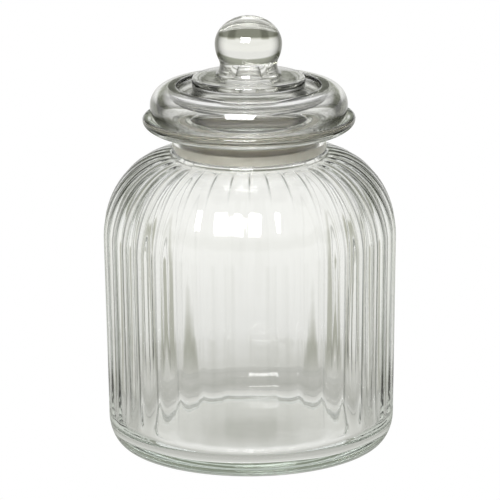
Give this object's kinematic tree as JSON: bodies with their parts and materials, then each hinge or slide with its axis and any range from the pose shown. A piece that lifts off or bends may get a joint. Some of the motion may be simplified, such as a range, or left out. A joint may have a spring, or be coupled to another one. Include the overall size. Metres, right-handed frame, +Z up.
{
  "type": "lidded glass storage jar",
  "caption": "Large ribbed glass storage jar with a flared lip and a hollow glass lid that has a ball knob and a plug sealed by a grooved flexible ring.",
  "frame": {"origin": "centre of the circle on which the foot ring stands", "axes": "+Z up along the jar's axis; the jar is round, with a valley between two ribs facing -Y, the front, and one facing +X"},
  "size_m": [0.1784, 0.1784, 0.267],
  "materials": {
    "jar_glass": "clear soda-lime glass with a faint green tint, blown in a mould, fire-polished",
    "lid_glass": "clear soda-lime glass, slightly greyer than the jar, fire-polished",
    "seal_plastic": "translucent milky flexible plastic, moulded"
  },
  "bodies": {
    "jar": {"jar": "jar_glass"},
    "seal": {"seal_ring": "seal_plastic"},
    "lid": {"lid": "lid_glass"}
  },
  "joints": [
    {"name": "lid_lift", "type": "slide", "parent": "jar", "child": "seal", "axis": [0, 0, 1], "range_m": [0, 0.1]},
    {"name": "lid_turn", "type": "hinge", "parent": "seal", "child": "lid", "pos_m": [0, 0, 0.19], "axis": [0, 0, 1], "continuous": true}
  ]
}
